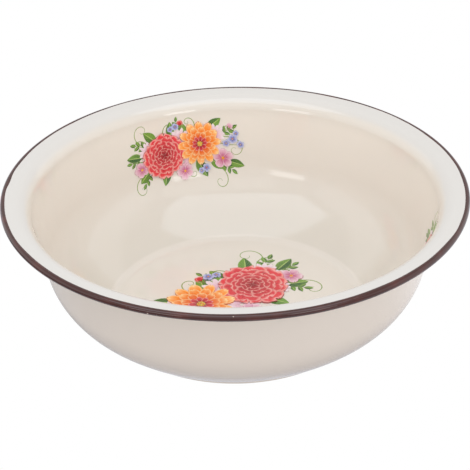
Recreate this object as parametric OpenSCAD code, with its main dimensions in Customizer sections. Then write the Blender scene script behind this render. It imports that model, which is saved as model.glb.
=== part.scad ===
// Enamel wash basin with a rolled rim. One deep-drawn steel sheet carries a ground coat, cream,
// white and brown cover coats, and four floral transfers fired on the inside.
// Origin at the centre of the foot, +Z up, millimetres.

/* [Basin] */
// Diameter over the rolled rim
rim_d = 400; // [392:1:424]
// Height from the standing surface to the top of the rim
height = 125; // [118:1:140]
// Diameter of the flat floor
floor_d = 230; // [216:1:236]

/* [Foot] */
// Radius of the bend at the floor's edge, at mid sheet
heel_r = 2; // [1.5:0.1:3]
// Slope of the foot's short riser
riser_angle = 70; // [55:1:85]
// Length of the foot's riser
riser_len = 1; // [0.6:0.1:3]
// Radius of the bend above the riser, at mid sheet
instep_r = 3; // [2:0.1:5]

/* [Wall] */
// The wall's slopes and radii are those of a basin 400 across and 125 high on a floor of 230;
// on other sizes the wall keeps its shape, stretched to the room it has
// Slope at which the wall springs from the foot
spring_angle = 34.5; // [30:0.5:38]
// Radius of the lower wall, at mid sheet
base_r = 214.6; // [190:0.1:240]
// Slope at which the lower wall passes into the belly
belly_angle = 44; // [42:0.5:48]
// Radius of the belly, at mid sheet
belly_r = 69.6; // [62:0.1:76]
// Slope of the upper wall
wall_angle = 78.2; // [75:0.1:84]

/* [Rim] */
// Radius of the shoulder where the wall turns out into the flange, at mid sheet
shoulder_r = 15.5; // [10:0.1:22]
// Upward slope of the flange
flange_angle = 8.8; // [4:0.1:16]
// Diameter of the rolled bead over its coats
bead_d = 5.6; // [5.2:0.1:6.4]
// Turn of the sheet round the bead
curl_turn = 280; // [240:1:285]
// Reach of the brown rim coat inward from the bead
brown_lap = 0.8; // [0.4:0.1:3]
// Slope on the shoulder where the cream coat meets the white flange coat
colour_angle = 46; // [20:1:60]

/* [Thicknesses] */
// Steel sheet
sheet_t = 0.7; // [0.5:0.05:0.8]
// Dark ground coat
ground_t = 0.2; // [0.15:0.05:0.25]
// Cream, white and brown cover coats
cover_t = 0.3; // [0.25:0.05:0.35]
// Fired colour of the transfers
transfer_t = 0.25; // [0.2:0.05:0.4]

/* [Transfers] */
// Directions of the wall sprays at the back, front and right, counterclockwise from +X
wall_sprays_at = [107, 220, 338]; // [0:1:359]
// Half width of a wall spray
wall_spray_r = 58; // [40:1:62]
// Height of a wall spray's centre, which moves with the wall
wall_spray_z = 76; // [72:1:80]
// Half width of the floor spray
floor_spray_r = 88; // [60:1:100]
// Distance of the floor spray's centre from the floor's centre, towards its top
floor_spray_shift = 14; // [0:1:15]
// Direction that the floor spray's top points in, counterclockwise from +X
floor_spray_at = 132; // [0:1:359]

/* [Hidden] */
$fn = 180;
// Most that a bend's chords may stray from its arc
curve_tol = 0.01;
// Clearance of the wall's films above the coat
film_gap = 0.02;
// Room beside the floor and height of the basin that the wall's slopes and radii were taken from
wall_room = 85;
wall_height = 125;

// Distances from mid sheet to the faces of the sheet, the ground coat and the cover coats
sheet_face = sheet_t / 2;
ground_face = sheet_face + ground_t;
cover_face = ground_face + cover_t;

// Direction normal to a path that runs at an angle, pointing into the bowl or out of the bead
function normal(a) = [-sin(a), cos(a)];

// Step made by an arc of radius r whose slope goes from a to b; b below a turns right
function arc_step(r, a, b) =
    sign(b - a) * r * [sin(b) - sin(a), cos(a) - cos(b)];

// Stretch of the wall's section, outward and upward
stretch = [(rim_d - floor_d) / 2 / wall_room, height / wall_height];

// Slope that a slope of the wall has after the stretch
function leant(a) = atan2(stretch.y * sin(a), stretch.x * cos(a));

// Radius of the bend that spans a bend of radius r from slope a to b after the stretch
function eased(r, a, b) =
    let (step = arc_step(r, a, b))
    norm([stretch.x * step.x, stretch.y * step.y]) / (2 * sin((leant(b) - leant(a)) / 2));

spring_slope = leant(spring_angle);
belly_slope = leant(belly_angle);
wall_slope = leant(wall_angle);
base_mid_r = eased(base_r, spring_angle, belly_angle);
belly_mid_r = eased(belly_r, belly_angle, wall_angle);
shoulder_mid_r = shoulder_r * stretch.x;

// The mid sheet runs from the axis out over the floor, up the wall and round the bead. The
// lengths of the upper wall and the flange are what is left between the belly and the bead.
bead_mid_r = bead_d / 2 - cover_face;
bead_centre = [rim_d / 2 - bead_d / 2, height - bead_d / 2];
flange_end = bead_centre + bead_mid_r * normal(flange_angle);
belly_end = [floor_d / 2, cover_face]
    + arc_step(heel_r, 0, riser_angle)
    + riser_len * [cos(riser_angle), sin(riser_angle)]
    + arc_step(instep_r, riser_angle, spring_slope)
    + arc_step(base_mid_r, spring_slope, belly_slope)
    + arc_step(belly_mid_r, belly_slope, wall_slope);
left_over = flange_end - belly_end - arc_step(shoulder_mid_r, wall_slope, flange_angle);
between = sin(wall_slope - flange_angle);
wall_len = (left_over.y * cos(flange_angle) - left_over.x * sin(flange_angle)) / between;
flange_len = (left_over.x * sin(wall_slope) - left_over.y * cos(wall_slope)) / between;

// Stretches of the path: a straight one is [name, length, 0], a bend is [name, radius, turn]
PATH = [
    ["floor", floor_d / 2, 0],
    ["heel", heel_r, riser_angle],
    ["riser", riser_len, 0],
    ["instep", instep_r, spring_slope - riser_angle],
    ["base", base_mid_r, belly_slope - spring_slope],
    ["belly", belly_mid_r, wall_slope - belly_slope],
    ["wall", wall_len, 0],
    ["cream shoulder", shoulder_mid_r, colour_angle - wall_slope],
    ["white shoulder", shoulder_mid_r, flange_angle - colour_angle],
    ["white flange", flange_len - brown_lap, 0],
    ["brown flange", brown_lap, 0],
    ["curl", bead_mid_r, -curl_turn],
    ["edge", ground_t, 0]
];

// Number of a stretch
function number(name) = search([name], PATH)[0];

// Place and slope at the end of a stretch that starts at a pose, as [x, y, slope]
function after(pose, stretch) =
    let (step = stretch[2] == 0
        ? stretch[1] * [cos(pose[2]), sin(pose[2])]
        : arc_step(stretch[1], pose[2], pose[2] + stretch[2]))
    [pose[0] + step.x, pose[1] + step.y, pose[2] + stretch[2]];

// Pose at the start of stretch i
function pose(i) = i == 0 ? [0, cover_face, 0] : after(pose(i - 1), PATH[i - 1]);

// Steps that keep a bend's chords within the tolerance
function steps(stretch) =
    stretch[2] == 0 ? 1 : ceil(abs(stretch[2]) / (2 * acos(1 - curve_tol / stretch[1])));

// Pose part of the way round a bend, or at a stretch's start
function part_way(start, stretch, share) =
    share == 0 ? start : after(start, [stretch[0], stretch[1], stretch[2] * share]);

// Poses along the path from stretch first to the end of stretch last
function poses(first, last) = [
    for (i = [number(first):number(last)])
        let (start = pose(i), n = steps(PATH[i]))
        for (k = [0:n - 1]) part_way(start, PATH[i], k / n),
    pose(number(last) + 1)
];

// Points at a distance from mid sheet, beside each pose
function beside(poses, distance) =
    [for (p = poses) [p[0], p[1]] + distance * normal(p[2])];

function reversed(list) = [for (i = [len(list) - 1:-1:0]) list[i]];

// Section of a layer from stretch first to stretch last, its faces low and high above mid sheet
module strip(first, last, low, high) {
    along = poses(first, last);
    polygon(concat(beside(along, high), reversed(beside(along, low))));
}

// Section that wraps the sheet on both faces and over its cut edge, open at the axis
module wrap(low, high) {
    sheet = poses("floor", "curl");
    past_edge = poses("floor", "edge");
    polygon(concat(
        beside(past_edge, high), reversed(beside(past_edge, -high)),
        beside(sheet, -low), reversed(beside(sheet, low))
    ));
}

module turned() {
    rotate_extrude() children();
}

// Shapes of the transfers, in a unit frame: each row is [x, y, size, petals or direction]
blossom_shares = [
    [-0.35, -0.02, 0.36, 9], [0.28, 0.08, 0.36, 12], [0.65, -0.20, 0.17, 5],
    [-0.01, -0.35, 0.14, 5], [-0.77, -0.17, 0.13, 5], [0.83, 0.12, 0.08, 5]
];
leaf_shares = [
    [-0.46, 0.22, 0.30, 138], [-0.20, 0.24, 0.27, 96], [0.06, 0.28, 0.24, 118],
    [0.42, 0.30, 0.30, 40], [-0.58, -0.20, 0.30, 215], [-0.30, -0.27, 0.27, 252],
    [0.22, -0.18, 0.34, 290], [0.44, -0.20, 0.30, 318], [0.74, -0.26, 0.26, 342],
    [-0.74, 0.02, 0.28, 165]
];
petal_place_share = 0.6;
petal_size_share = 0.42;
leaf_bow_share = 0.62;

module blossom(size, petals) {
    circle(r = size * petal_place_share);
    for (k = [0:petals - 1])
        rotate(k * 360 / petals) translate([size * petal_place_share, 0])
            circle(r = size * petal_size_share);
}

// Leaf of two arcs, its stalk end at the origin
module leaf(size) {
    bow = size * leaf_bow_share;
    drop = sqrt(bow * bow - size * size / 4);
    intersection() {
        translate([size / 2, drop]) circle(r = bow);
        translate([size / 2, -drop]) circle(r = bow);
    }
}

module spray(r) {
    for (b = blossom_shares)
        translate([b[0] * r, b[1] * r]) blossom(b[2] * r, b[3]);
    for (l = leaf_shares)
        translate([l[0] * r, l[1] * r]) rotate(l[3]) leaf(l[2] * r);
}

// Film on the inside of the wall, where a spray cast outward in one direction meets it
module wall_transfer(k) {
    intersection() {
        turned() strip("base", "wall", cover_face + film_gap, cover_face + transfer_t);
        rotate(wall_sprays_at[k])
            translate([floor_d / 2, 0, wall_spray_z * stretch.y])
                rotate([90, 0, 90]) linear_extrude(rim_d / 2)
                    mirror([1, 0]) spray(wall_spray_r);
    }
}

module steel_pressing() {
    color([0.45, 0.46, 0.48])
        turned() strip("floor", "curl", -sheet_face, sheet_face);
}

// Dipped coat that wraps the sheet on both faces and over its cut edge inside the curl
module ground_coat() {
    color([0.10, 0.11, 0.16])
        turned() wrap(sheet_face, ground_face);
}

module outside_cream_coat() {
    color([0.84, 0.80, 0.75])
        turned() strip("floor", "brown flange", -cover_face, -ground_face);
}

module inside_cream_coat() {
    color([0.89, 0.85, 0.79])
        turned() strip("floor", "cream shoulder", ground_face, cover_face);
}

module white_flange_coat() {
    color([0.91, 0.90, 0.88])
        turned() strip("white shoulder", "white flange", ground_face, cover_face);
}

module brown_rim_coat() {
    color([0.33, 0.22, 0.21])
        turned() strip("brown flange", "curl", ground_face, cover_face);
}

module wall_transfer_back() {
    color([0.83, 0.36, 0.30]) wall_transfer(0);
}

module wall_transfer_front() {
    color([0.83, 0.36, 0.30]) wall_transfer(1);
}

module wall_transfer_right() {
    color([0.83, 0.36, 0.30]) wall_transfer(2);
}

module floor_transfer() {
    color([0.83, 0.36, 0.30])
        translate([0, 0, 2 * cover_face])
            rotate(floor_spray_at - 90) translate([0, floor_spray_shift])
                linear_extrude(transfer_t) mirror([1, 0]) spray(floor_spray_r);
}

steel_pressing();
ground_coat();
outside_cream_coat();
inside_cream_coat();
white_flange_coat();
brown_rim_coat();
wall_transfer_back();
wall_transfer_front();
wall_transfer_right();
floor_transfer();
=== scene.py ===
"""Enamel wash basin: fired coats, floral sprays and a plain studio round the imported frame."""

import math
import random

import bpy
import numpy as np
from mathutils import Matrix, Vector


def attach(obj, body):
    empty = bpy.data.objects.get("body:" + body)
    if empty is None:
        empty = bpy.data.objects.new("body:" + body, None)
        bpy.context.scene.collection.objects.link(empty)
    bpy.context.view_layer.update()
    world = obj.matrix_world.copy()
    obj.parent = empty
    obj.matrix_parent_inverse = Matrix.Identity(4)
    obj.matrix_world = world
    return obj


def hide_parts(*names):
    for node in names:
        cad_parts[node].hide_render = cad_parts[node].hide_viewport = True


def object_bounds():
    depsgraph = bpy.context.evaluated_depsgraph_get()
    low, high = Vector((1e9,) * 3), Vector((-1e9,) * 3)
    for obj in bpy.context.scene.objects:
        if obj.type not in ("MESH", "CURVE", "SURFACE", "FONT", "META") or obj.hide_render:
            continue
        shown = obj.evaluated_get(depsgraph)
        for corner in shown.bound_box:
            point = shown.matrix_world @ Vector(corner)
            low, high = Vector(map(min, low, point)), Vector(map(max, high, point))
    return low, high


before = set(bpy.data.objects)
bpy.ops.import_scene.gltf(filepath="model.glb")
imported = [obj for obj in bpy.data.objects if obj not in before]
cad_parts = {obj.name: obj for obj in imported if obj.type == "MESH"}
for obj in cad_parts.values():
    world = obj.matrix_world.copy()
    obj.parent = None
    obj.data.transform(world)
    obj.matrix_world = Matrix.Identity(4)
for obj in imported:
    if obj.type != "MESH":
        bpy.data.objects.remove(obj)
CAD_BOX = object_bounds()

bl_info = {
    "name": "Enamel wash basin",
    "version": (1, 0, 0),
    "blender": (4, 5, 0),
    "location": "3D View > Sidebar > Basin",
    "description": "Builds the enamel coats and floral sprays of a wash basin",
    "category": "Object",
}

MM = 0.001
BLACK = (0.0, 0.0, 0.0)
WHITE = (1.0, 1.0, 1.0)


# Sizes, colours and lights that a user would change


def length(name, description, default, high=1.0):
    return bpy.props.FloatProperty(
        name=name, description=description, default=default, min=0.0, max=high,
        subtype="DISTANCE", unit="LENGTH", precision=5,
    )


def angle(name, description, degrees):
    return bpy.props.FloatProperty(
        name=name, description=description, default=math.radians(degrees),
        subtype="ANGLE", unit="ROTATION",
    )


def colour(name, description, default, high=1.0):
    return bpy.props.FloatVectorProperty(
        name=name, description=description, default=default, size=3,
        min=0.0, max=high, subtype="COLOR",
    )


def amount(name, description, default, high=10.0):
    return bpy.props.FloatProperty(
        name=name, description=description, default=default, min=0.0, max=high,
    )


class BasinShape(bpy.types.PropertyGroup):
    """The pressed sheet's section, as the frame has it"""

    rim_radius: length("Rim radius", "Radius over the rolled rim", CAD_BOX[1][0])
    height: length("Height", "Height to the top of the rim", CAD_BOX[1][2])
    floor_radius: length("Floor radius", "Radius of the flat floor", 115 * MM)
    heel_radius: length("Heel radius", "Bend at the floor's edge", 2 * MM)
    riser_slope: angle("Riser slope", "Slope of the foot's riser", 70)
    riser_length: length("Riser length", "Length of the foot's riser", 1 * MM)
    instep_radius: length("Instep radius", "Bend above the riser", 3 * MM)
    spring_slope: angle("Spring slope", "Slope at which the wall springs", 34.5)
    base_radius: length("Base radius", "Radius of the lower wall", 214.6 * MM)
    belly_slope: angle("Belly slope", "Slope where the belly begins", 44)
    belly_radius: length("Belly radius", "Radius of the belly", 69.6 * MM)
    wall_slope: angle("Wall slope", "Slope of the upper wall", 78.2)
    shoulder_radius: length("Shoulder radius", "Bend into the flange", 15.5 * MM)
    flange_slope: angle("Flange slope", "Upward slope of the flange", 8.8)
    bead_radius: length("Bead radius", "Radius of the rolled bead", 2.8 * MM)
    curl_turn: angle("Curl turn", "Turn of the sheet round the bead", 280)
    brown_lap: length("Brown lap", "Reach of the brown coat inward", 0.8 * MM)
    colour_slope: angle("Colour slope", "Slope where cream meets white", 46)
    ground_face: length("Ground face", "Mid sheet to the ground coat's face", 0.55 * MM)
    cover_face: length("Cover face", "Mid sheet to the cover coat's face", 0.85 * MM)
    ripple: length("Ripple", "Unevenness left by the press", 0.10 * MM)
    pool: length("Pool", "Reach of the enamel that fills the floor's edge", 5 * MM)
    segments: bpy.props.IntProperty(
        name="Segments", description="Faces round the basin", default=320, min=64,
    )


class EnamelColours(bpy.types.PropertyGroup):
    """Colours of the fired coats, linear"""

    cream: colour("Cream", "Inside cover coat", (0.758, 0.691, 0.608))
    white: colour("White", "Flange cover coat", (0.645, 0.608, 0.566))
    outside: colour("Outside", "Outside cover coat", (0.722, 0.634, 0.552))
    brown: colour("Brown", "Rim coat", (0.045, 0.0088, 0.0062))
    chip: colour("Chip", "Flaw in the rim coat", (0.55, 0.44, 0.38))
    speck: colour("Speck", "Pinhole in the enamel", (0.22, 0.16, 0.12))
    ground: colour("Ground", "Dark ground coat", (0.012, 0.014, 0.030))
    steel: colour("Steel", "Bare steel", (0.36, 0.36, 0.37))


class SprayLook(bpy.types.PropertyGroup):
    """Places and colours of the fired sprays"""

    wall_radius: length("Wall spray", "Half width of a wall spray", 58 * MM)
    wall_height: length("Wall height", "Height of a wall spray's centre", 76 * MM)
    floor_radius: length("Floor spray", "Half width of the floor spray", 88 * MM)
    floor_shift: length("Floor shift", "Floor spray off the centre", 14 * MM)
    back: angle("Back spray", "Direction of the spray at the back", 107)
    front: angle("Front spray", "Direction of the spray at the front", 220)
    right: angle("Right spray", "Direction of the spray at the right", 338)
    floor_top: angle("Floor top", "Direction of the floor spray's top", 132)
    seed: bpy.props.IntProperty(name="Seed", description="Order of small changes", default=7)
    coral_deep: colour("Coral deep", "Heart of the coral flower", (0.24, 0.004, 0.010))
    coral: colour("Coral", "Coral petals", (0.72, 0.040, 0.052))
    coral_pale: colour("Coral pale", "Edge of the coral petals", (0.92, 0.46, 0.40))
    amber_deep: colour("Amber deep", "Heart of the amber flower", (0.66, 0.036, 0.006))
    amber: colour("Amber", "Amber petals", (0.92, 0.25, 0.016))
    amber_pale: colour("Amber pale", "Edge of the amber petals", (0.97, 0.74, 0.36))
    lilac_deep: colour("Lilac deep", "Heart of the lilac flower", (0.52, 0.12, 0.24))
    lilac: colour("Lilac", "Lilac petals", (0.74, 0.42, 0.50))
    lilac_pale: colour("Lilac pale", "Edge of the lilac petals", (0.86, 0.70, 0.70))
    pale: colour("Pale", "Pale rays", (0.80, 0.62, 0.66))
    pale_edge: colour("Pale edge", "Edge of the pale rays", (0.88, 0.83, 0.81))
    blue_deep: colour("Blue deep", "Heart of the blue flower", (0.13, 0.12, 0.34))
    blue: colour("Blue", "Blue petals", (0.42, 0.44, 0.68))
    blue_pale: colour("Blue pale", "Edge of the blue petals", (0.72, 0.73, 0.82))
    leaf_deep: colour("Leaf deep", "Shaded leaf", (0.022, 0.090, 0.022))
    leaf: colour("Leaf", "Leaf", (0.150, 0.290, 0.045))
    leaf_pale: colour("Leaf pale", "Veins of the leaf", (0.50, 0.62, 0.18))
    stem: colour("Stem", "Stems and tendrils", (0.30, 0.36, 0.10))
    eye: colour("Eye", "Flower centres", (0.78, 0.55, 0.06))


class Studio(bpy.types.PropertyGroup):
    """Camera, table and lamps of the plain studio"""

    distance: length("Distance", "Camera to the rim's centre", 1.2, high=5.0)
    elevation: angle("Elevation", "Camera above the rim's plane", 29.025)
    pitch: angle("Pitch", "Look below the rim's centre", -2.053)
    roll: angle("Roll", "Turn of the picture", 1.11)
    pan: angle("Pan", "Turn of the view sideways", 0.026)
    focal: bpy.props.FloatProperty(
        name="Focal length", description="Of the lens, in millimetres", default=107.0, min=10.0,
    )
    sensor: amount("Sensor", "Width of the sensor, in millimetres", 36.0, high=100.0)
    backdrop: colour("Backdrop", "White behind and below the basin", WHITE)
    table: colour("Table", "Table in front of the basin", (0.72, 0.72, 0.73))
    table_back: colour("Table back", "Table beside and behind the basin", (0.88, 0.88, 0.90))
    table_foot: colour("Table foot", "Shaded table round the foot", (0.46, 0.46, 0.48))
    table_far: colour("Table far", "Dim table further off in front", (0.30, 0.30, 0.31))
    glow: colour("Glow", "Light that comes up through the table", (0.075, 0.080, 0.094))
    glow_foot: colour("Glow foot", "Light that comes up under the foot", (0.38, 0.405, 0.455))
    air: amount("Air", "Light from all round", 0.815)
    overhead_panel: amount("Overhead panel", "Radiance of the panel overhead", 1.47)
    panel_tint: colour("Panel tint", "Tint of the panel overhead", (0.88, 1.0, 1.12), high=2.0)
    fill_card: amount("Fill card", "Radiance of the large card behind the camera", 0.5)
    left_card: amount("Left card", "Radiance of the card on the left", 0.45)
    right_card: amount("Right card", "Radiance of the card on the right", 0.50)
    left_box: amount("Left box", "Radiance of the left softbox", 2.8)
    right_box: amount("Right box", "Radiance of the right softbox", 3.4)


HELD = {
    "basin_shape": BasinShape,
    "basin_enamel": EnamelColours,
    "basin_sprays": SprayLook,
    "basin_studio": Studio,
}


# Shader maths


class Value:
    """A float socket that adds Math nodes when it is used in an expression"""

    def __init__(self, finish, socket):
        self.finish = finish
        self.socket = socket

    def math(self, operation, *inputs):
        settings = {"operation": operation}
        return self.finish.value("ShaderNodeMath", settings, dict(enumerate(inputs)))

    def __add__(self, other):
        return self.math("ADD", self, other)

    __radd__ = __add__

    def __sub__(self, other):
        return self.math("SUBTRACT", self, other)

    def __rsub__(self, other):
        return self.math("SUBTRACT", other, self)

    def __mul__(self, other):
        return self.math("MULTIPLY", self, other)

    __rmul__ = __mul__

    def __pow__(self, other):
        return self.math("POWER", self, other)

    def __abs__(self):
        return self.math("ABSOLUTE", self)

    def sine(self):
        return self.math("SINE", self)

    def over(self, other):
        return self.math("MAXIMUM", self, other)


class Finish:
    """A material whose nodes are added by a few short calls"""

    def __init__(self, name):
        self.material = bpy.data.materials.new(name)
        self.material.use_nodes = True
        self.tree = self.material.node_tree
        self.tree.nodes.clear()
        self.shader = self.node("ShaderNodeBsdfPrincipled")
        out = self.node("ShaderNodeOutputMaterial")
        self.tree.links.new(self.shader.outputs["BSDF"], out.inputs["Surface"])

    def node(self, kind, settings=None, inputs=None):
        made = self.tree.nodes.new(kind)
        for name, setting in (settings or {}).items():
            setattr(made, name, setting)
        for name, given in (inputs or {}).items():
            self.feed(made.inputs[name], given)
        return made

    def feed(self, socket, given):
        given = getattr(given, "socket", given)
        if isinstance(given, bpy.types.NodeSocket):
            self.tree.links.new(given, socket)
        else:
            socket.default_value = given

    def value(self, kind, settings=None, inputs=None, output=0):
        return Value(self, self.node(kind, settings, inputs).outputs[output])

    def step(self, value, low, high):
        """0 below low, 1 above high, smooth between; low may lie above high"""
        inputs = {"Value": value, "From Min": low, "From Max": high}
        settings = {"interpolation_type": "SMOOTHSTEP"}
        return self.value("ShaderNodeMapRange", settings, inputs, "Result")

    def mix(self, factor, first, second):
        inputs = {0: factor, 6: opaque(first), 7: opaque(second)}
        return self.node("ShaderNodeMix", {"data_type": "RGBA"}, inputs).outputs[2]

    def noise(self, vector, scale, detail=2.0):
        inputs = {"Vector": vector, "Scale": scale, "Detail": detail}
        return self.value("ShaderNodeTexNoise", None, inputs, "Fac")

    def petal(self):
        """How far along and across its petal a point lies, the petal's tone, and its depth"""
        paint = self.node("ShaderNodeAttribute", {"attribute_name": "Petal"})
        split = self.node("ShaderNodeSeparateColor", None, {"Color": paint.outputs["Color"]})
        sockets = (*split.outputs, paint.outputs["Alpha"])
        return [Value(self, socket) for socket in sockets]

    def place(self):
        return self.node("ShaderNodeTexCoord").outputs["Object"]

    def axes(self, vector):
        split = self.node("ShaderNodeSeparateXYZ", None, {"Vector": vector})
        return [Value(self, socket) for socket in split.outputs]

    def bump(self, height, distance, strength=1.0):
        inputs = {"Height": height, "Distance": distance, "Strength": strength}
        made = self.node("ShaderNodeBump", None, inputs)
        self.feed(self.shader.inputs["Normal"], made.outputs["Normal"])

    def done(self, **sockets):
        for name, given in sockets.items():
            given = opaque(given) if name.endswith("Color") else given
            self.feed(self.shader.inputs[name.replace("_", " ")], given)
        return self.material


def opaque(given):
    """A colour with alpha, or a socket as it is"""
    if isinstance(given, bpy.types.NodeSocket) or hasattr(given, "socket"):
        return given
    return (*given, 1.0)


def toned(given, share):
    """A colour at a share of its strength"""
    return tuple(c * share for c in given)


# Finishes


# Where the inside coat's painted shade and its white begin and end: shares of the basin's height,
# outward from the floor's edge, and inward from the rim
SHOULDER_SHADE_SHARES = (0.82, 0.94)
WHITE_SHARES = (0.6, 0.8)
FLOOR_SHADE_START = (1 * MM, 3.5 * MM)
FLOOR_SHADE_END = (54 * MM, 18 * MM)
WHITE_START = (23.5 * MM, 18.5 * MM)
# Shares of the cover coat's colour in the painted shade over the shoulder and round the floor's
# edge
SHOULDER_SHADE_TONE = 0.90
FLOOR_SHADE_TONE = (0.918, 0.918, 0.90)
# Chips of the rim coat: direction and tilt on the bead, in degrees, and size
CHIPS = (
    (250.5, -12, 0.7 * MM), (252.6, -17, 0.4 * MM), (269.2, 50, 0.55 * MM), (121, 8, 0.5 * MM),
    (31, -8, 0.5 * MM),
)


def inside_tones(finish, base, cover, white, shape):
    """Darkens the coat with painted shade round the floor's edge and over the shoulder, then turns
    it white
    """
    place = finish.place()
    x, y, z = finish.axes(place)
    radius = (x * x + y * y) ** 0.5
    # Painted shade over the upper wall and shoulder: the coat darker there
    shoulder_shade = finish.step(z, *(shape.height * share for share in SHOULDER_SHADE_SHARES))
    base = finish.mix(shoulder_shade, base, toned(cover, SHOULDER_SHADE_TONE))
    # Painted shade in a soft darker band just outside the floor's edge
    brink = finish.step(radius, *(shape.floor_radius + off for off in FLOOR_SHADE_START))
    fade = finish.step(radius, *(shape.floor_radius + off for off in FLOOR_SHADE_END))
    floor_shade = tuple(c * share for c, share in zip(cover, FLOOR_SHADE_TONE))
    base = finish.mix(brink * fade, base, floor_shade)
    spread = radius + (finish.noise(place, 30.0) - 0.5) * (2 * MM)
    high = finish.step(z, *(shape.height * share for share in WHITE_SHARES))
    turned = finish.step(spread, *(shape.rim_radius - off for off in WHITE_START))
    return finish.mix(turned * high, base, white)


def enamel(name, cover, colours, shape=None):
    """Glossy fired enamel with faint clouds and rare pinholes; a shape adds the inside's painted
    shade and its white
    """
    finish = Finish(name)
    place = finish.place()
    clouds = finish.noise(place, 14.0, 3.0)
    base = finish.mix(clouds * 0.5, cover, toned(cover, 0.965))
    if shape:
        base = inside_tones(finish, base, cover, colours.white, shape)
    cells = finish.node(
        "ShaderNodeTexVoronoi", {"feature": "F1"}, {"Vector": place, "Scale": 60.0}
    )
    distance = Value(finish, cells.outputs["Distance"])
    lot = finish.axes(cells.outputs["Color"])[0]
    speck_size = finish.step(lot, 0.955, 1.0) * 0.028
    mask = finish.step(distance - speck_size, 0.006, 0.0) * finish.step(lot, 0.95, 0.96)
    base = finish.mix(mask * 0.75, base, colours.speck)
    peel = finish.noise(place, 260.0)
    swell = finish.noise(place, 36.0)
    finish.bump(peel * 0.12 + swell, 0.22 * MM, 0.35)
    return finish.done(
        Base_Color=base, Roughness=0.07 + finish.noise(place, 90.0) * 0.05, IOR=1.56,
    )


def rim_enamel(name, colours, shape):
    """Dark brown enamel on the bead, redder in its thin clouds, with small chips"""
    finish = Finish(name)
    place = finish.place()
    clouds = finish.step(finish.noise(place, 55.0, 3.0), 0.42, 0.78) * 0.5
    base = finish.mix(clouds, colours.brown, toned(colours.brown, 2.6))
    flaws = 0.0
    for turn, tilt, size in CHIPS:
        turn, tilt = math.radians(turn), math.radians(tilt)
        reach = shape.rim_radius - shape.bead_radius * (1 - math.cos(tilt))
        rise = shape.height - shape.bead_radius * (1 - math.sin(tilt))
        spot = (reach * math.cos(turn), reach * math.sin(turn), rise)
        gap = finish.value(
            "ShaderNodeVectorMath", {"operation": "DISTANCE"}, {0: place, 1: spot}, "Value"
        )
        ragged = gap + (finish.noise(place, 900.0) - 0.5) * (1.2 * MM)
        flaws = finish.step(ragged, size, size * 0.6) + flaws
    base = finish.mix(flaws * 0.8, base, colours.chip)
    finish.bump(finish.noise(place, 170.0, 3.0), 0.35 * MM, 0.45)
    return finish.done(
        Base_Color=base, Roughness=0.04 + finish.noise(place, 120.0) * 0.04, IOR=1.53,
    )


def painted(name, heart, body, edge, vein=0.35, outline=0.55, lit=0.6):
    """Fired petal colour: dark heart, streaked body, pale edge with a fine line round it"""
    finish = Finish(name)
    along, across, tone, depth = finish.petal()
    side = abs(across * 2.0 - 1.0)
    lines = finish.node(
        "ShaderNodeCombineXYZ", None, {0: across * 9.0, 1: along * 1.1, 2: tone * 40.0}
    )
    streak = finish.noise(lines.outputs[0], 1.0)
    wash = finish.noise(finish.place(), 420.0, 3.0)
    rise = finish.step(along + (streak - 0.5) * 0.5, 0.18, 0.72)
    base = finish.mix(rise * (1.0 - depth * 0.75), heart, body)
    glow = finish.step(along + (streak - 0.5) * 0.35 - side * 0.06, lit, 1.0)
    base = finish.mix(glow * (0.2 + tone * 0.6) * (1.0 - depth * 0.5), base, edge)
    furrow = finish.step(streak, 0.56, 0.66) * finish.step(along, 0.12, 0.4)
    base = finish.mix(furrow * vein * (1.0 - glow * 0.5), base, heart)
    inner = finish.step(side, 0.66, 0.9).over(finish.step(along, 0.88, 0.95))
    base = finish.mix(inner * outline, base, edge)
    rim = finish.step(side, 0.93, 1.0).over(finish.step(along, 0.975, 1.0))
    base = finish.mix(rim * outline, base, heart)
    base = finish.mix(finish.step(wash, 0.5, 0.8) * 0.16, base, edge)
    return finish.done(Base_Color=base, Roughness=0.16, IOR=1.5)


def leaf_paint(name, deep, body, pale):
    """Fired leaf colour: one half darker, a pale midrib and side veins"""
    finish = Finish(name)
    along, across, tone, _ = finish.petal()
    side = abs(across * 2.0 - 1.0)
    half = finish.step(across, 0.44, 0.56)
    wash = finish.noise(finish.place(), 260.0, 3.0)
    shade = half * 0.55 + (1.0 - along) * 0.35 + (wash - 0.5) * 0.5 + (tone - 0.5) * 0.5
    base = finish.mix(finish.step(shade, 0.1, 0.95), body, deep)
    ribs = ((along * 44.0) - side * 16.0).sine()
    veins = finish.step(ribs, 0.90, 0.99) * finish.step(side, 0.95, 0.7)
    base = finish.mix(veins * 0.45, base, pale)
    base = finish.mix(finish.step(side, 0.13, 0.04) * 0.75, base, pale)
    glow = finish.step(side, 0.7, 1.0) * finish.step(tone, 0.2, 0.9)
    base = finish.mix(glow * 0.35, base, pale)
    return finish.done(Base_Color=base, Roughness=0.16, IOR=1.5)


def plain_paint(name, body, dark):
    """Fired colour of stems and flower centres, mottled"""
    finish = Finish(name)
    wash = finish.noise(finish.place(), 700.0)
    base = finish.mix(finish.step(wash, 0.35, 0.7), body, dark)
    return finish.done(Base_Color=base, Roughness=0.18, IOR=1.5)


# The sheet's section


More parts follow.
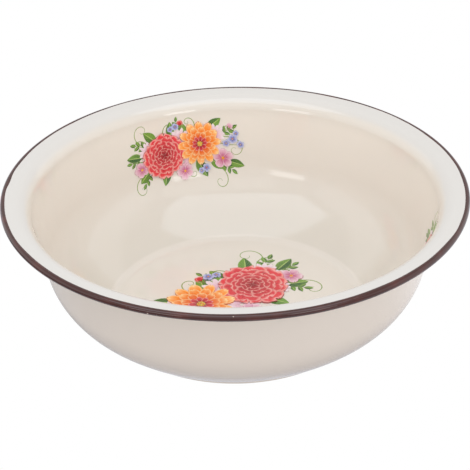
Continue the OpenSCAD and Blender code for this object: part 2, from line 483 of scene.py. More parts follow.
class Section:
    """Mid line of the pressed sheet, from the axis to the end of the curl, by distance run"""

    def __init__(self, shape):
        bead = shape.bead_radius - shape.cover_face
        up = shape.wall_slope
        out = shape.flange_slope
        centre = np.array(
            [shape.rim_radius - shape.bead_radius, shape.height - shape.bead_radius]
        )
        flange_end = centre + bead * self.normal(out)
        known = [
            (shape.floor_radius, 0.0),
            (shape.heel_radius, shape.riser_slope),
            (shape.riser_length, 0.0),
            (shape.instep_radius, shape.spring_slope - shape.riser_slope),
            (shape.base_radius, shape.belly_slope - shape.spring_slope),
            (shape.belly_radius, up - shape.belly_slope),
        ]
        self.poses = [np.array([0.0, shape.cover_face, 0.0])]
        self.stretches = []
        self.runs = [0.0]
        for stretch in known:
            self.add(*stretch)
        shoulder = self.bend(shape.shoulder_radius, up, out)
        left = flange_end - self.poses[-1][:2] - shoulder
        between = math.sin(up - out)
        wall = (left[1] * math.cos(out) - left[0] * math.sin(out)) / between
        flange = (left[0] * math.sin(up) - left[1] * math.cos(up)) / between
        self.add(wall, 0.0)
        self.add(shape.shoulder_radius, shape.colour_slope - up)
        self.add(shape.shoulder_radius, out - shape.colour_slope)
        self.add(flange - shape.brown_lap, 0.0)
        self.add(shape.brown_lap, 0.0)
        self.add(bead, -shape.curl_turn)
        names = (
            "floor", "heel", "riser", "instep", "base", "belly", "wall", "cream_shoulder",
            "white_shoulder", "white_flange", "brown_flange", "curl",
        )
        self.ends = dict(zip(names, self.runs[1:]))

    @staticmethod
    def normal(slope):
        return np.array([-np.sin(slope), np.cos(slope)])

    @staticmethod
    def bend(radius, first, last):
        side = np.sign(last - first)
        step = [np.sin(last) - np.sin(first), np.cos(first) - np.cos(last)]
        return side * radius * np.array(step)

    def add(self, size, turn):
        self.stretches.append((size, turn))
        self.runs.append(self.runs[-1] + (abs(turn) * size if turn else size))
        last = self.runs[-1]
        r, z, slope = self.at(np.array([last]))
        self.poses.append(np.array([r[0], z[0], slope[0]]))

    def at(self, run):
        """Radius, height and slope at distances run along the mid line"""
        r, z, slope = (np.zeros_like(run) for _ in range(3))
        for i, (size, turn) in enumerate(self.stretches):
            here = run >= self.runs[i] if i else np.full(run.shape, True)
            r0, z0, slope0 = self.poses[i]
            gone = run[here] - self.runs[i]
            if turn:
                bent = slope0 + gone / size * np.sign(turn)
                step = self.bend(size, slope0, bent)
                r[here], z[here], slope[here] = r0 + step[0], z0 + step[1], bent
            else:
                r[here] = r0 + gone * np.cos(slope0)
                z[here] = z0 + gone * np.sin(slope0)
                slope[here] = slope0
        return r, z, slope

    def rows(self, first, last, pitch, turn_step=math.radians(6)):
        """Distances run from first to last: close on bends, at most pitch apart"""
        rows = [first]
        for i, (size, turn) in enumerate(self.stretches):
            low, high = max(first, self.runs[i]), min(last, self.runs[i + 1])
            if high <= low:
                continue
            gap = min(pitch, size * turn_step) if turn else pitch
            count = max(1, math.ceil((high - low) / gap))
            rows += list(np.linspace(low, high, count + 1)[1:])
        return np.array(rows)


# Waves of a pressed sheet: share of the ripple, count round the basin, phase, and turn with the run
RIPPLES = ((0.45, 2, 0.6, 2.1), (0.35, 3, 2.2, -4.0), (0.20, 7, 1.1, 9.0))


class Pressing:
    """The section turned round the axis, with the small unevenness of a pressed sheet"""

    def __init__(self, shape):
        self.shape = shape
        self.section = Section(shape)

    def ripple(self, run, turn):
        s = run / self.section.ends["curl"]
        grow = np.clip(run / self.shape.floor_radius, 0.0, 1.0) ** 2
        waves = sum(
            share * np.sin(lobes * turn + phase + climb * s)
            for share, lobes, phase, climb in RIPPLES
        )
        dish = 0.5 * np.cos(run / self.shape.floor_radius * 5.2) * (1.0 - grow)
        return self.shape.ripple * (waves * grow + dish)

    def point(self, run, turn, rise):
        """Points off mid sheet; rise is a distance, or a function of the run and the turn"""
        r, z, slope = self.section.at(run)
        lift = (rise(run, turn) if callable(rise) else rise) + self.ripple(run, turn)
        r = r - lift * np.sin(slope)
        z = z + lift * np.cos(slope)
        return np.stack([r * np.cos(turn), r * np.sin(turn), z], axis=-1)

    def pool_rise(self, run, reach):
        """Rise of the enamel that fills the corner between the floor and the wall"""
        if not reach:
            return np.zeros_like(run)
        face = self.shape.cover_face
        end = self.section.ends["instep"]
        spring = self.shape.spring_slope
        r, z, slope = self.section.at(run)
        r, z = r - face * np.sin(slope), z + face * np.cos(slope)
        r_wall, z_wall, _ = (v[0] for v in self.section.at(np.array([end])))
        r_wall, z_wall = r_wall - face * math.sin(spring), z_wall + face * math.cos(spring)
        corner = r_wall - (z_wall - 2 * face) / math.tan(spring)
        bend = reach / math.tan(spring / 2)
        off = np.clip(r - corner + reach, 0.0, bend * math.sin(spring))
        lean = np.arcsin(off / bend)
        level = 2 * face + bend * (1 - np.cos(lean))
        past = np.maximum(r - corner - reach * math.cos(spring), 0.0)
        depth = np.maximum(level + past * math.tan(spring) - z, 0.0)
        pooled = depth * np.cos(lean) / np.cos(slope - lean)
        return np.where(run < end + reach, pooled, 0.0)

    def normal(self, run, turn, rise):
        """Unit normals that point into the bowl"""
        small = 0.02 * MM
        tiny = 1e-3
        along = self.point(run + small, turn, rise) - self.point(run - small, turn, rise)
        aside = self.point(run, turn + tiny, rise) - self.point(run, turn - tiny, rise)
        out = np.cross(aside, along)
        size = np.linalg.norm(out, axis=-1, keepdims=True)
        unit = -out / np.maximum(size, 1e-15)
        return np.where(size > 1e-15, unit, np.array([0.0, 0.0, 1.0]))


# Run over which a coat's edge builds up, and rows of the face that a coat hides
LIP_ROUND = 0.7 * MM
HIDDEN_PITCH = 8 * MM
HIDDEN_STEP = math.radians(24)


def coat(
    name, pressing, first, last, hidden, shown, pitch=1.4 * MM, uneven=None, lip=0.0, pool=0.0
):
    """Closed coat from one distance off mid sheet to another, its shown face fine"""
    turns = np.arange(pressing.shape.segments) * (2 * np.pi / pressing.shape.segments)
    out = math.copysign(1.0, shown)

    def start(turn):
        return first + (0.0 if uneven is None else uneven(turn))

    def grid(runs):
        run, turn = np.meshgrid(runs, turns, indexing="ij")
        return run + (start(turn) - first) * ((last - run) / (last - first)) ** 6, turn

    def rise(run, turn):
        edge = np.clip((run - start(turn)) / LIP_ROUND, 0.0, 1.0)
        return shown + lip * np.sqrt(edge) + pressing.pool_rise(run, pool)

    fine = grid(pressing.section.rows(first, last, pitch))
    coarse = grid(pressing.section.rows(first, last, HIDDEN_PITCH, HIDDEN_STEP)[::-1])
    points = np.concatenate([pressing.point(*fine, rise), pressing.point(*coarse, hidden)])
    normals = np.concatenate(
        [pressing.normal(*fine, rise) * out, pressing.normal(*coarse, hidden) * -out]
    )
    return turned_mesh(name, points, normals, capped=first == 0.0)


def turned_mesh(name, points, normals, capped):
    """Mesh of a closed loop of rows; capped rows meet at one point on the axis"""
    rows, segments = points.shape[:2]
    keep = points.reshape(-1, 3)
    lit = normals.reshape(-1, 3)
    index = np.arange(rows * segments).reshape(rows, segments)
    across = np.roll(index, -1, axis=1)
    if capped:
        body = slice(1, rows - 1)
        index, across = index[body], across[body]
        first, last = rows * segments, rows * segments + 1
        keep = np.vstack([keep, points[0].mean(axis=0), points[-1].mean(axis=0)])
        lit = np.vstack([lit, normals[0].mean(axis=0), normals[-1].mean(axis=0)])
        quads = np.stack([index[:-1], across[:-1], across[1:], index[1:]], axis=-1)
        faces = [tuple(q) for q in quads.reshape(-1, 4)]
        faces += [(first, b, a) for a, b in zip(index[0], across[0])]
        faces += [(last, a, b) for a, b in zip(index[-1], across[-1])]
    else:
        below, below_across = np.roll(index, -1, axis=0), np.roll(across, -1, axis=0)
        quads = np.stack([index, across, below_across, below], axis=-1)
        faces = [tuple(q) for q in quads.reshape(-1, 4)]
    used = np.unique(np.concatenate([np.array(f) for f in faces]))
    new = np.full(len(keep), -1)
    new[used] = np.arange(len(used))
    mesh = bpy.data.meshes.new(name)
    mesh.from_pydata(
        [tuple(p) for p in keep[used]], [], [tuple(int(new[i]) for i in f) for f in faces]
    )
    lit = lit[used]
    if volume(mesh) < 0:
        mesh.flip_normals()
    mesh.shade_smooth()
    mesh.normals_split_custom_set_from_vertices([tuple(n) for n in lit])
    mesh.update()
    return linked(name, mesh)


def volume(mesh):
    """Signed volume, positive when the faces look outward"""
    mesh.calc_loop_triangles()
    corners = np.zeros(len(mesh.loop_triangles) * 3, dtype=np.int32)
    mesh.loop_triangles.foreach_get("vertices", corners)
    places = np.zeros(len(mesh.vertices) * 3)
    mesh.vertices.foreach_get("co", places)
    a, b, c = places.reshape(-1, 3)[corners.reshape(-1, 3)].transpose(1, 0, 2)
    return float(np.einsum("ij,ij->i", a, np.cross(b, c)).sum() / 6)


def linked(name, data):
    made = bpy.data.objects.new(name, data)
    bpy.context.scene.collection.objects.link(made)
    return made


def dress(piece, node, slot, *materials):
    """Gives a piece its materials and places it on the body for a node of the frame"""
    for material in materials:
        piece.data.materials.append(material)
    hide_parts(node)
    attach(piece, "root")


# Fired sprays

# Height of a spray's lowest patch above the coat, and of each patch above the last
FILM_BASE = 0.045 * MM
FILM_STEP = 0.004 * MM


class Film:
    """Thin closed patches of fired colour, laid on a surface one over another"""

    def __init__(self, place, dice):
        self.place = place
        self.dice = dice
        self.points = []
        self.faces = []
        self.kinds = []
        self.paint = []
        self.height = FILM_BASE

    def patch(self, across, along, where, kind, depth=0.0):
        """One patch: where(s, t) gives its outline's place for s 0 to 1 and t -1 to 1"""
        self.height += FILM_STEP
        tone = self.dice.random()
        s = np.linspace(0.0, 1.0, along + 1)
        t = np.linspace(-1.0, 1.0, across + 1)
        grid_s, grid_t = np.meshgrid(s, t, indexing="ij")
        u, v = where(grid_s, grid_t)
        first = len(self.points)
        width = across + 1
        count = (along + 1) * width
        for rise in (self.height, 0.0):
            self.points += list(self.place(u, v, rise).reshape(-1, 3))
        shades = np.stack(
            [grid_s, (grid_t + 1) / 2, np.full_like(grid_s, tone), np.full_like(grid_s, depth)],
            axis=-1,
        ).reshape(-1, 4)
        self.paint += [tuple(row) for row in shades] * 2
        top = [
            (i * width + j, i * width + j + 1, (i + 1) * width + j + 1, (i + 1) * width + j)
            for i in range(along) for j in range(across)
        ]
        edge = (
            list(range(across))
            + [i * width + across for i in range(along)]
            + [along * width + j for j in range(across, 0, -1)]
            + [i * width for i in range(along, 0, -1)]
        )
        faces = [tuple(first + k for k in face) for face in top]
        faces += [tuple(first + count + k for k in reversed(face)) for face in top]
        for a, b in zip(edge, edge[1:] + edge[:1]):
            faces.append((first + b, first + a, first + count + a, first + count + b))
        self.faces += faces
        self.kinds += [kind] * len(faces)

    def mesh(self, name):
        mesh = bpy.data.meshes.new(name)
        mesh.from_pydata([tuple(p) for p in self.points], [], self.faces)
        mesh.polygons.foreach_set("material_index", self.kinds)
        shades = mesh.attributes.new("Petal", "FLOAT_COLOR", "POINT")
        shades.data.foreach_set("color", np.array(self.paint).ravel())
        mesh.update()
        return linked(name, mesh)


CORAL, AMBER, LILAC, BLUE, PALE, LEAF, STEM, EYE = range(8)


class Spray:
    """Motifs of a spray, drawn in a unit frame and laid on the basin at one size"""

    def __init__(self, film, size):
        self.film = film
        self.size = size
        self.dice = film.dice

    def sway(self, reach):
        return self.dice.uniform(-reach, reach)

    def laid(self, x, y, turn, run, side):
        """Place of a point run along a direction from x, y, and side across it"""
        cos, sin = math.cos(turn), math.sin(turn)
        return (
            (x + run * cos - side * sin) * self.size,
            (y + run * sin + side * cos) * self.size,
        )

    def petal(
        self, x, y, turn, start, reach, wide, kind, depth=0.0, full=1.7, blunt=0.62, notch=0.06,
        frill=0.02, across=6, along=8,
    ):
        """A petal from a start to a reach along a direction, half of it wide across"""
        phase = self.dice.uniform(0, 2 * math.pi)

        def where(s, t):
            width = np.sin(np.pi * np.clip(s, 0.0, 1.0) ** full * 0.985) ** blunt
            run = start + (reach - start) * s
            dip = notch * np.exp(-((t / 0.3) ** 2)) * s**5
            wave = frill * np.sin(6.5 * t + phase) * s**4
            return self.laid(x, y, turn, run * (1 - dip + wave), wide * width * t)

        self.film.patch(across, along, where, kind, depth)

    def ring(self, x, y, size, count, start, reach, wide, kind, depth, turn=0.0, **form):
        order = list(range(count))
        self.dice.shuffle(order)
        for k in order:
            a = turn + 2 * math.pi * (k + self.sway(0.10)) / count
            r = reach * (1 + self.sway(0.05))
            self.petal(
                x, y, a, start * size, r * size, wide * size * (1 + self.sway(0.08)),
                kind, depth, **form,
            )

    def rings(self, x, y, size, rings, kind, turn, **form):
        """Rings one inside another, each by its count, start, reach, half width and depth"""
        for n, (count, start, reach, wide, depth) in enumerate(rings):
            self.ring(x, y, size, count, start, reach, wide, kind, depth, turn=turn * n, **form)

    def rosette(self, x, y, size):
        """Full coral flower of broad notched petals, smaller and darker towards its heart"""
        rings = (
            (8, 0.30, 1.03, 0.40, 0.0), (7, 0.22, 0.85, 0.38, 0.15), (6, 0.16, 0.67, 0.34, 0.3),
            (5, 0.10, 0.50, 0.30, 0.5), (5, 0.05, 0.35, 0.22, 0.7), (4, 0.0, 0.22, 0.15, 0.9),
        )
        self.rings(x, y, size, rings, CORAL, 0.37, notch=0.10, frill=0.035, blunt=0.5)

    def daisy(self, x, y, size):
        """Open amber flower of narrow rays round a dotted centre"""
        rings = (
            (12, 0.16, 1.03, 0.19, 0.0), (11, 0.12, 0.82, 0.18, 0.3), (10, 0.08, 0.60, 0.15, 0.7),
        )
        self.rings(
            x, y, size, rings, AMBER, 0.22, notch=0.07, frill=0.01, blunt=0.55, across=4,
        )
        self.ring(x, y, size, 9, 0.0, 0.38, 0.09, CORAL, 0.4, across=4, along=5)
        self.disc(x, y, 0.12 * size, EYE)
        for k in range(9):
            a = 2.4 * k
            r = 0.13 * size * math.sqrt((k + 0.5) / 9)
            self.disc(x + r * math.cos(a), y + r * math.sin(a), 0.022 * size, STEM)

    def aster(self, x, y, size):
        """Pale flower of narrow rays, mostly hidden behind others"""
        for count, reach, wide, depth in ((13, 1.0, 0.15, 0.1), (11, 0.74, 0.13, 0.4)):
            self.ring(
                x, y, size, count, 0.1, reach, wide, PALE, depth, turn=self.sway(0.5),
                notch=0.05, across=4,
            )

    def blossom(self, x, y, size, kind):
        """Small five-petalled flower with a pale eye and a few stamens"""
        turn = self.sway(0.5)
        self.ring(
            x, y, size, 5, 0.02, 1.02, 0.43, kind, 0.15, turn=turn,
            full=1.5, notch=0.14, blunt=0.55,
        )
        self.disc(x, y, 0.15 * size, EYE)
        for k in range(6):
            a = turn + k * math.pi / 3
            r = 0.25 * size * (1 + self.sway(0.2))
            self.disc(x + r * math.cos(a), y + r * math.sin(a), 0.028 * size, EYE)

    def disc(self, x, y, radius, kind):
        def where(s, t):
            a = s * 2 * np.pi
            r = radius * (t + 1) / 2
            return (x + r * np.cos(a)) * self.size, (y + r * np.sin(a)) * self.size

        self.film.patch(2, 12, where, kind, 0.5)

    def leaf(self, x, y, size, turn):
        """Toothed leaf from its stalk"""
        bend = self.sway(0.12)

        def where(s, t):
            width = 0.255 * size * np.sin(np.pi * s**0.92) ** 0.85
            teeth = 1 + 0.05 * np.abs(np.sin(s * 26)) * (np.abs(t) > 0.9)
            return self.laid(x, y, turn, size * s, width * teeth * t + bend * size * s * s)

        self.film.patch(8, 26, where, LEAF)

    def stroke(self, points, wide, steps=26):
        """Tapering stem through a few points, drawn as a smooth curve"""
        knots = np.array(points)
        places = 160
        place = np.linspace(0, len(knots) - 1, places)
        curve = np.stack([smooth_line(place, knots[:, k]) for k in (0, 1)], axis=1)

        def where(s, t):
            share = s * (places - 1)
            near = np.arange(places)
            px = np.interp(share, near, curve[:, 0])
            py = np.interp(share, near, curve[:, 1])
            dx = np.interp(share, near, np.gradient(curve[:, 0]))
            dy = np.interp(share, near, np.gradient(curve[:, 1]))
            norm = np.hypot(dx, dy) + 1e-9
            half = wide * (1.0 - 0.72 * s) * t
            return (px - dy / norm * half) * self.size, (py + dx / norm * half) * self.size

        self.film.patch(2, steps, where, STEM)

    def tendril(self, x, y, size, turn, hand):
        """Stem that winds up into a curl"""
        links = 30
        places = [(x, y)]
        for k in range(links):
            share = k / links
            a = turn + hand * (0.15 + 7.6 * share**1.6)
            step = size * 0.085 * (1 - 0.74 * share)
            px, py = places[-1]
            places.append((px + step * math.cos(a), py + step * math.sin(a)))
        self.stroke(places, 0.0075, steps=70)

    def sprig(self, x, y, size, turn):
        """Twig with pairs of small leaves"""
        cos, sin = math.cos(turn), math.sin(turn)
        points = [(x + size * share * cos, y + size * share * sin) for share in (0.0, 0.5, 1.0)]
        self.stroke(points, 0.007)
        for share, lean in ((0.35, 0.95), (0.35, -0.95), (0.68, 0.8), (0.68, -0.8), (0.95, 0.0)):
            at = (x + size * share * cos, y + size * share * sin)
            self.leaf(*at, size * 0.46, turn + lean)

    def bud(self, x, y, size, turn, kind):
        """Closed bud on its stalk"""
        for side in (-0.35, 0.35, 0.0):
            self.petal(
                x, y, turn + side * 0.6, 0.0, size, 0.30 * size, kind, 0.3, full=1.1, notch=0.0,
            )
        for side in (-1, 1):
            self.petal(
                x, y, turn + side * 0.5, 0.0, size * 0.5, 0.10 * size, LEAF, full=1.2, notch=0.0,
            )


def smooth_line(place, knots):
    """Smooth curve through evenly placed knots"""
    low = np.clip(place.astype(int), 0, len(knots) - 2)
    share = place - low
    padded = np.concatenate([[2 * knots[0] - knots[1]], knots, [2 * knots[-1] - knots[-2]]])
    a, b, c, d = (padded[low + k] for k in range(4))
    return 0.5 * (
        2 * b + (c - a) * share + (2 * a - 5 * b + 4 * c - d) * share**2
        + (3 * b - a - 3 * c + d) * share**3
    )


# Leaves, tendrils and sprigs: x, y and length in shares of a spray's half width, direction in
# degrees, and a tendril's hand
LEAVES = (
    (-0.46, 0.22, 0.30, 138), (-0.20, 0.24, 0.27, 96), (0.06, 0.28, 0.24, 118),
    (0.42, 0.30, 0.30, 40), (-0.58, -0.20, 0.30, 215), (-0.30, -0.27, 0.27, 252),
    (0.22, -0.18, 0.34, 290), (0.44, -0.20, 0.30, 318), (0.74, -0.26, 0.26, 342),
    (-0.74, 0.02, 0.28, 165),
)
TENDRILS = (
    (-0.60, 0.16, 0.50, 165, -1), (-0.66, -0.24, 0.44, 190, 1), (-0.62, 0.20, 0.30, 120, 1),
    (0.62, 0.16, 0.52, 10, -1), (0.52, -0.30, 0.44, 335, -1), (0.62, 0.24, 0.30, 60, -1),
    (0.22, 0.34, 0.28, 80, 1), (-0.34, 0.28, 0.28, 100, -1), (0.04, -0.30, 0.24, 260, 1),
)
SPRIGS = (
    (-0.62, 0.16, 0.24, 158), (0.60, -0.26, 0.24, 322), (-0.10, 0.30, 0.20, 88),
    (-0.60, -0.24, 0.22, 236), (0.62, 0.20, 0.24, 26), (-0.72, -0.05, 0.22, 174),
)
# Small flowers: x, y and size
BLUES = (
    (0.83, 0.12, 0.08), (0.95, 0.02, 0.06), (0.72, 0.05, 0.06), (0.89, 0.21, 0.05),
    (-0.21, 0.39, 0.05), (0.36, -0.34, 0.07), (0.27, -0.38, 0.05), (-0.12, 0.42, 0.06),
)
LILACS = ((-0.77, -0.17, 0.13), (0.65, -0.20, 0.17), (-0.01, -0.35, 0.14))
# Pale rays that show behind the two large flowers
ASTERS = (
    (-0.06, 0.18, 0.20), (-0.03, -0.20, 0.19), (0.53, 0.20, 0.19), (-0.62, 0.10, 0.17),
    (0.48, -0.08, 0.18), (-0.52, -0.20, 0.16),
)


# Stalks: their points, and half their width at the foot
STALKS = (
    (((0.06, 0.20), (0.02, 0.32), (-0.02, 0.40)), 0.009),
    (((0.55, 0.14), (0.68, 0.22), (0.76, 0.30)), 0.008),
    (((-0.50, -0.10), (-0.70, -0.06), (-0.92, -0.02)), 0.008),
    (((0.60, 0.06), (0.78, 0.02), (0.98, 0.01)), 0.007),
)


def draw_spray(spray):
    """Coral rosette and amber daisy among pale asters, small blossoms, leaves and tendrils"""
    for x, y, size, turn, hand in TENDRILS:
        spray.tendril(x, y, size, math.radians(turn), hand)
    for points, wide in STALKS:
        spray.stroke(points, wide)
    for x, y, size, turn in SPRIGS:
        spray.sprig(x, y, size, math.radians(turn))
    for x, y, size, turn in LEAVES:
        spray.leaf(x, y, size, math.radians(turn))
    spray.bud(-0.02, 0.38, 0.13, math.radians(98), CORAL)
    spray.bud(0.76, 0.28, 0.12, math.radians(55), LILAC)
    for place in ASTERS:
        spray.aster(*place)
    for kind, places in ((LILAC, LILACS), (BLUE, BLUES)):
        for place in places:
            spray.blossom(*place, kind)
    spray.rosette(-0.35, -0.02, 0.36)
    spray.daisy(0.28, 0.08, 0.36)


def spray_finishes(look):
    """Materials of a spray's patches, in the order of their kinds"""
    return (
        painted(
            "coral_paint", look.coral_deep, look.coral, look.coral_pale,
            vein=0.4, outline=0.6, lit=0.78,
        ),
        painted("amber_paint", look.amber_deep, look.amber, look.amber_pale),
        painted("lilac_paint", look.lilac_deep, look.lilac, look.lilac_pale, vein=0.2),
        painted("blue_paint", look.blue_deep, look.blue, look.blue_pale, vein=0.2),
        painted("pale_paint", look.lilac, look.pale, look.pale_edge, vein=0.15, outline=0.3),
        leaf_paint("leaf_paint", look.leaf_deep, look.leaf, look.leaf_pale),
        plain_paint("stem_paint", look.stem, look.leaf),
        plain_paint("eye_paint", look.eye, look.amber_deep),
    )


def wall_place(pressing, heading, height):
    """Lays a spray on the inside of the wall, upright and facing the axis"""
    shape = pressing.shape
    ends = pressing.section.ends
    runs = np.linspace(ends["instep"], ends["white_shoulder"], 400)
    r, z, slope = pressing.section.at(runs)
    inner_r = r - shape.cover_face * np.sin(slope)
    inner_z = z + shape.cover_face * np.cos(slope)

    def place(u, v, rise):
        run = np.interp(height + v, inner_z, runs)
        radius = np.interp(height + v, inner_z, inner_r)
        turn = heading - np.arcsin(u / radius)
        return pressing.point(run, turn, np.full_like(run, shape.cover_face + rise))

    return place


def floor_place(pressing, heading, shift):
    """Lays a spray flat on the floor, mirrored, with its top towards a heading"""
    shape = pressing.shape
    quarter = math.pi / 2

    def place(u, v, rise):
        x, y = -u, v + shift
        a = heading - quarter
        east = x * math.cos(a) - y * math.sin(a)
        north = x * math.sin(a) + y * math.cos(a)
        run = np.hypot(east, north)
        turn = np.arctan2(north, east)
        return pressing.point(run, turn, np.full_like(run, shape.cover_face + rise))

    return place


# Operators


# The rim coat's hand-made edge: waves by reach, count round the basin and phase, and places where
# it strays, by direction and width in degrees, and reach
EDGE_WAVES = ((0.16 * MM, 5, 0.4), (0.12 * MM, 13, 2.0), (0.07 * MM, 31, 1.0))
STRAYS = ((176, 3.0, 0.9 * MM), (335, 4.0, -0.7 * MM), (62, 6.0, 0.4 * MM), (214, 5.0, 0.35 * MM))


def hand_lined(turn):
    """How far the rim coat's edge lies from a true circle"""
    line = sum(reach * np.sin(lobes * turn + phase) for reach, lobes, phase in EDGE_WAVES)
    for at, wide, reach in STRAYS:
        off = (np.degrees(turn) - at + 180) % 360 - 180
        line = line + reach * np.exp(-((off / wide) ** 2))
    return -line


def make_coat(name, node, finish, shape, first, last, side=1, lap=0.0, rise=0.0, **form):
    """Coat between two named places of the section, inside it (side 1) or outside (side -1)"""
    pressing = Pressing(shape)
    ends = {"axis": 0.0, **pressing.section.ends}
    piece = coat(
        name, pressing, ends[first], ends[last] + lap, side * shape.ground_face,
        side * shape.cover_face + rise, **form,
    )
    dress(piece, node, node, finish)


def make_spray(name, node, place, seed, size, finishes):
    """Spray laid on the surface that place gives"""
    film = Film(place, random.Random(seed))
    draw_spray(Spray(film, size))
    dress(film.mesh(name), node, "transfer_colours", *finishes)


class Step:
    """What the basin's operators share: each can be undone, and run again with other settings"""

    bl_options = {"REGISTER", "UNDO"}


class BASIN_OT_metal(Step, bpy.types.Operator):
    """Finish the pressed sheet and its ground coat, which show only inside the curl"""

    bl_idname = "basin.metal"
    bl_label = "Sheet and ground coat"

    def execute(self, context):
        enamels = context.scene.basin_enamel
        steel = Finish("pickled_steel")
        grain = steel.noise(steel.place(), 800.0, 4.0)
        shades = steel.mix(grain, enamels.steel, toned(enamels.steel, 0.7))
        steel.bump(grain, 0.05 * MM)
        steel.done(Base_Color=shades, Metallic=1.0, Roughness=0.35 + grain * 0.2)
        ground = Finish("ground_enamel")
        mottle = ground.noise(ground.place(), 300.0, 3.0)
        shades = ground.mix(mottle, enamels.ground, toned(enamels.ground, 2.0))
        ground.bump(mottle, 0.1 * MM)
        ground.done(Base_Color=shades, Roughness=0.2 + mottle * 0.1)
        for node, finish in (("steel_pressing", steel), ("ground_coat", ground)):
            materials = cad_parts[node].data.materials
            materials.clear()
            materials.append(finish.material)
        return {"FINISHED"}


class BASIN_OT_inside(Step, bpy.types.Operator):
    """Make the cream coat of the floor and wall"""

    bl_idname = "basin.inside"
    bl_label = "Inside coat"

    def execute(self, context):
        shape = context.scene.basin_shape
        enamels = context.scene.basin_enamel
        finish = enamel("cream_enamel", enamels.cream, enamels, shape)
        make_coat(
            "cream_inside", "inside_cream_coat", finish, shape, "axis", "cream_shoulder",
            pool=shape.pool,
        )
        return {"FINISHED"}


class BASIN_OT_flange(Step, bpy.types.Operator):
    """Make the white coat of the shoulder and flange, which runs on under the rim coat"""

    bl_idname = "basin.flange"
    bl_label = "Flange coat"

    def execute(self, context):
        shape = context.scene.basin_shape
        enamels = context.scene.basin_enamel
        finish = enamel("white_enamel", enamels.cream, enamels, shape)
        make_coat(
            "white_flange", "white_flange_coat", finish, shape, "cream_shoulder", "brown_flange",
            lap=1 * MM, pitch=0.8 * MM,
        )
        return {"FINISHED"}


class BASIN_OT_rim(Step, bpy.types.Operator):
    """Make the brown coat on the rolled bead, its edge hand-lined and a little uneven"""

    bl_idname = "basin.rim"
    bl_label = "Rim coat"

    def execute(self, context):
        shape = context.scene.basin_shape
        finish = rim_enamel("brown_enamel", context.scene.basin_enamel, shape)
        make_coat(
            "brown_rim", "brown_rim_coat", finish, shape, "white_flange", "curl",
            rise=0.01 * MM, pitch=0.4 * MM, uneven=hand_lined, lip=0.09 * MM,
        )
        return {"FINISHED"}


class BASIN_OT_outside(Step, bpy.types.Operator):
    """Make the cream coat outside and under the flange"""

    bl_idname = "basin.outside"
    bl_label = "Outside coat"

    def execute(self, context):
        enamels = context.scene.basin_enamel
        finish = enamel("outside_enamel", enamels.outside, enamels)
        make_coat(
            "cream_outside", "outside_cream_coat", finish, context.scene.basin_shape,
            "axis", "brown_flange", side=-1,
        )
        return {"FINISHED"}


class BASIN_OT_wall_sprays(Step, bpy.types.Operator):
    """Lay the three sprays on the inside of the wall"""

    bl_idname = "basin.wall_sprays"
    bl_label = "Wall sprays"

    def execute(self, context):
        look = context.scene.basin_sprays
        pressing = Pressing(context.scene.basin_shape)
        finishes = spray_finishes(look)
        for name in ("back", "front", "right"):
            place = wall_place(pressing, getattr(look, name), look.wall_height)
            make_spray(
                f"wall_spray_{name}", f"wall_transfer_{name}", place, look.seed,
                look.wall_radius, finishes,
            )
        return {"FINISHED"}


class BASIN_OT_floor_spray(Step, bpy.types.Operator):
    """Lay the large spray on the floor"""

    bl_idname = "basin.floor_spray"
    bl_label = "Floor spray"

    def execute(self, context):
        look = context.scene.basin_sprays
        pressing = Pressing(context.scene.basin_shape)
        place = floor_place(pressing, look.floor_top, look.floor_shift)
        make_spray(
            "floor_spray", "floor_transfer", place, look.seed + 1, look.floor_radius,
            spray_finishes(look),
        )
        return {"FINISHED"}


def turned_about(vector, axis, turn):
    return Matrix.Rotation(turn, 3, axis) @ vector


def place_camera(shape, studio):
    """Camera at the photograph's angle, aimed just below the rim's centre"""
    look = Vector((0.0, math.cos(studio.elevation), -math.sin(studio.elevation)))
    right = Vector((1.0, 0.0, 0.0))
    spot = -look * studio.distance + Vector((0.0, 0.0, shape.height))
    up = right.cross(look)
    look, right = (turned_about(v, up, studio.pan) for v in (look, right))
    look, up = (turned_about(v, right, studio.pitch) for v in (look, up))
    right, up = (turned_about(v, look, studio.roll) for v in (right, up))
    data = bpy.data.cameras.new("camera")
    data.lens = studio.focal
    data.sensor_width = studio.sensor
    data.sensor_fit = "HORIZONTAL"
    camera = linked("camera", data)
    turn = Matrix((right, up, -look)).transposed().to_4x4()
    camera.matrix_world = Matrix.Translation(spot) @ turn
    bpy.context.scene.camera = camera


def softbox(name, spot, aim, width, depth, radiance, tint):
    """Rectangular lamp that looks at a point"""
    data = bpy.data.lights.new(name, "AREA")
    data.shape = "RECTANGLE"
    data.size = width
    data.size_y = depth
    data.energy = radiance * width * depth * math.pi
    data.color = tint
    lamp = linked(name, data)
    lamp.location = spot
    lamp.rotation_euler = (Vector(aim) - Vector(spot)).to_track_quat("-Z", "Y").to_euler()


def plain_floor(name, height, material):
    """Large square under the basin"""
    reach = 6.0
    mesh = bpy.data.meshes.new(name)
    corners = [(-reach, -reach, 0), (reach, -reach, 0), (reach, reach, 0), (-reach, reach, 0)]
    mesh.from_pydata(corners, [], [(0, 1, 2, 3)])
    mesh.materials.append(material)
    floor = linked(name, mesh)
    floor.location.z = height
    return floor


# Heights of the table and of the white backdrop below it, which only the camera sees
TABLE_LEVEL = -0.2 * MM
BACKDROP_LEVEL = -0.3 * MM
# Where the table's tones fade, in metres from the basin's axis
FAR_FADE = (0.25, 0.70)
FOOT_FADE = (0.25, 0.15)
GLOW_FADE = (0.16, 0.115)
# Half depth of the change from the back of the table to its front
FRONT_FADE = 0.10
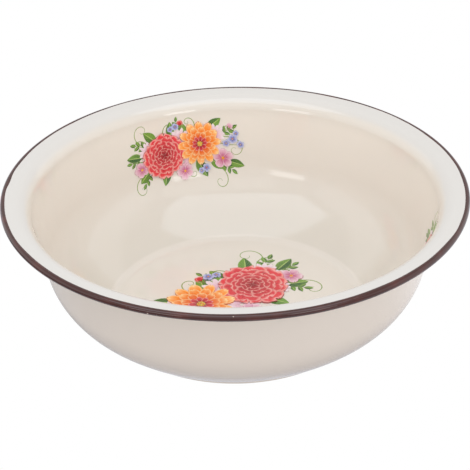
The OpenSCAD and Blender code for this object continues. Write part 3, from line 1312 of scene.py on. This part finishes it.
# Lamps: place, point aimed at, width and depth, in metres
LAMPS = {
    "overhead_panel": ((-0.13, -0.41, 1.3), (-0.13, -0.31, 0.0), 1.85, 0.84),
    "fill_card": ((0.5, -2.3, 1.9), (0.0, 0.0, 0.2), 4.0, 1.1),
    "left_card": ((-2.4, 0.4, 0.9), (0.0, 0.0, 0.1), 4.0, 2.2),
    "left_box": ((-1.08, -1.55, 0.55), (0.0, 0.0, 0.08), 0.75, 0.42),
    "right_card": ((2.4, 0.4, 0.9), (0.0, 0.0, 0.1), 4.0, 2.2),
    "right_box": ((0.95, -1.55, 0.55), (0.0, 0.0, 0.08), 0.6, 0.42),
}


def table_finish(studio):
    """Table that is paler behind the basin, dim further off, and lit from below near the foot"""
    finish = Finish("studio_table")
    x, y, z = finish.axes(finish.place())
    radius = (x * x + y * y) ** 0.5
    front = finish.step(y + x * 0.4, FRONT_FADE, -FRONT_FADE)
    base = finish.mix(front, studio.table_back, studio.table)
    dim = finish.step(radius - x * 0.6, *FAR_FADE) * front
    base = finish.mix(dim, base, studio.table_far)
    base = finish.mix(finish.step(radius, *FOOT_FADE) * front, base, studio.table_foot)
    glow = finish.mix(dim, studio.glow, BLACK)
    glow = finish.mix(finish.step(radius, *GLOW_FADE), glow, studio.glow_foot)
    return finish.done(
        Base_Color=base, Emission_Color=glow, Emission_Strength=1.0, Roughness=0.9,
        Specular_IOR_Level=0.0,
    )


class BASIN_OT_stage(Step, bpy.types.Operator):
    """Set up the table, the white backdrop, the lamps and the camera"""

    bl_idname = "basin.stage"
    bl_label = "Studio"

    def execute(self, context):
        scene = context.scene
        studio = scene.basin_studio
        scene.view_settings.view_transform = "Standard"
        bright = Finish("studio_backdrop").done(
            Base_Color=BLACK, Roughness=1.0, Specular_IOR_Level=0.0,
            Emission_Color=studio.backdrop, Emission_Strength=1.0,
        )
        backdrop = plain_floor("studio_backdrop", BACKDROP_LEVEL, bright)
        backdrop.visible_diffuse = False
        backdrop.visible_glossy = False
        table = plain_floor("studio_table", TABLE_LEVEL, table_finish(studio))
        table.visible_camera = False
        world = scene.world or bpy.data.worlds.new("studio_air")
        scene.world = world
        world.use_nodes = True
        back = world.node_tree.nodes["Background"]
        back.inputs["Color"].default_value = opaque(WHITE)
        back.inputs["Strength"].default_value = studio.air
        for name, lamp in LAMPS.items():
            tint = studio.panel_tint if name == "overhead_panel" else WHITE
            softbox(name, *lamp, getattr(studio, name), tint)
        place_camera(scene.basin_shape, studio)
        return {"FINISHED"}


OPERATORS = (
    BASIN_OT_metal, BASIN_OT_inside, BASIN_OT_flange, BASIN_OT_rim, BASIN_OT_outside,
    BASIN_OT_wall_sprays, BASIN_OT_floor_spray, BASIN_OT_stage,
)


class BASIN_PT_panel(bpy.types.Panel):
    """Sizes, colours and steps of the basin"""

    bl_idname = "BASIN_PT_panel"
    bl_label = "Enamel basin"
    bl_space_type = "VIEW_3D"
    bl_region_type = "UI"
    bl_category = "Basin"

    def draw(self, context):
        for held in HELD:
            group = getattr(context.scene, held)
            column = self.layout.column()
            for name in group.bl_rna.properties.keys():
                if name not in ("rna_type", "name"):
                    column.prop(group, name)
        for operator in OPERATORS:
            self.layout.operator(operator.bl_idname)


CLASSES = (*HELD.values(), *OPERATORS, BASIN_PT_panel)


def register():
    for cls in CLASSES:
        bpy.utils.register_class(cls)
    for name, group in HELD.items():
        setattr(bpy.types.Scene, name, bpy.props.PointerProperty(type=group))


def unregister():
    for name in HELD:
        delattr(bpy.types.Scene, name)
    for cls in reversed(CLASSES):
        bpy.utils.unregister_class(cls)


def main():
    register()
    for operator in OPERATORS:
        family, name = operator.bl_idname.split(".")
        getattr(getattr(bpy.ops, family), name)()
    bpy.context.view_layer.update()


if __name__ == "__main__":
    main()
